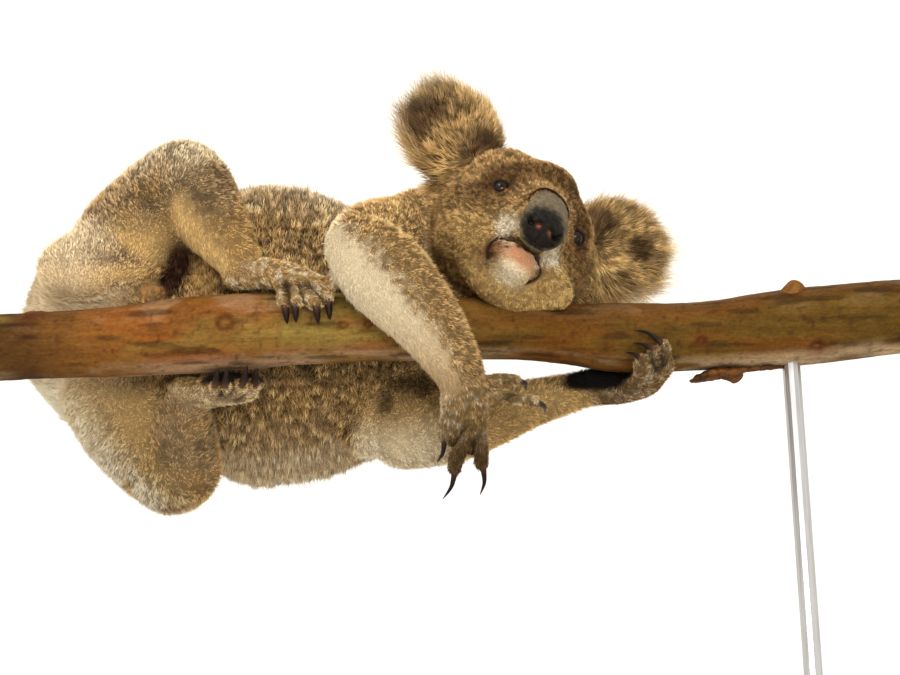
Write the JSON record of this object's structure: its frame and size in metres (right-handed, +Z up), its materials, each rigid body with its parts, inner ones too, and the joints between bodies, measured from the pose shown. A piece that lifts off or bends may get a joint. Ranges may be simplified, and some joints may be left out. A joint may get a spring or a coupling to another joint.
{
  "type": "koala",
  "caption": "Life-size koala lying along a cut length of smooth-barked branch, one arm hanging, head turned to look down, held by rods on a flat base.",
  "frame": {"origin": "centre of the underside of the stand's base", "axes": "+X along the branch from the rump towards the head, +Y from the belly's side to the back's side, +Z up"},
  "size_m": [0.736, 0.34, 0.6728],
  "materials": {
    "fur": "soft dense grey-brown coat, mottled",
    "pale_fur": "short cream and pink-white coat on the chin",
    "nose": "bare leathery skin",
    "eye": "wet, dark brown",
    "claw": "dark horn",
    "bark": "smooth bark in patches of orange-brown and olive",
    "stand_wood": "dark oiled hardwood",
    "stand_metal": "brushed dark steel"
  },
  "bodies": {
    "root": {"branch": "bark", "branch_bark_flake": "bark", "claw_foot_left_2": "claw", "claw_foot_left_3": "claw", "claw_foot_left_4": "claw", "claw_foot_left_5": "claw", "claw_foot_right_2": "claw", "claw_foot_right_3": "claw", "claw_foot_right_4": "claw", "claw_foot_right_5": "claw", "claw_hand_left_1": "claw", "claw_hand_left_2": "claw", "claw_hand_left_3": "claw", "claw_hand_left_4": "claw", "claw_hand_left_5": "claw", "claw_hand_right_1": "claw", "claw_hand_right_2": "claw", "claw_hand_right_3": "claw", "claw_hand_right_4": "claw", "claw_hand_right_5": "claw", "ear_left": "fur", "ear_right": "fur", "eye_left": "eye", "eye_right": "eye", "foot_left": "fur", "foot_right": "fur", "forearm_left": "fur", "forearm_right": "fur", "hand_left": "fur", "hand_right": "fur", "head": "fur", "jaw": "pale_fur", "neck": "fur", "nose": "nose", "shin_left": "fur", "shin_right": "fur", "stand_base": "stand_wood", "stand_rod_left": "stand_metal", "stand_rod_right": "stand_metal", "thigh_left": "fur", "thigh_right": "fur", "trunk": "fur", "upper_arm_left": "fur", "upper_arm_right": "fur"}
  },
  "joints": []
}
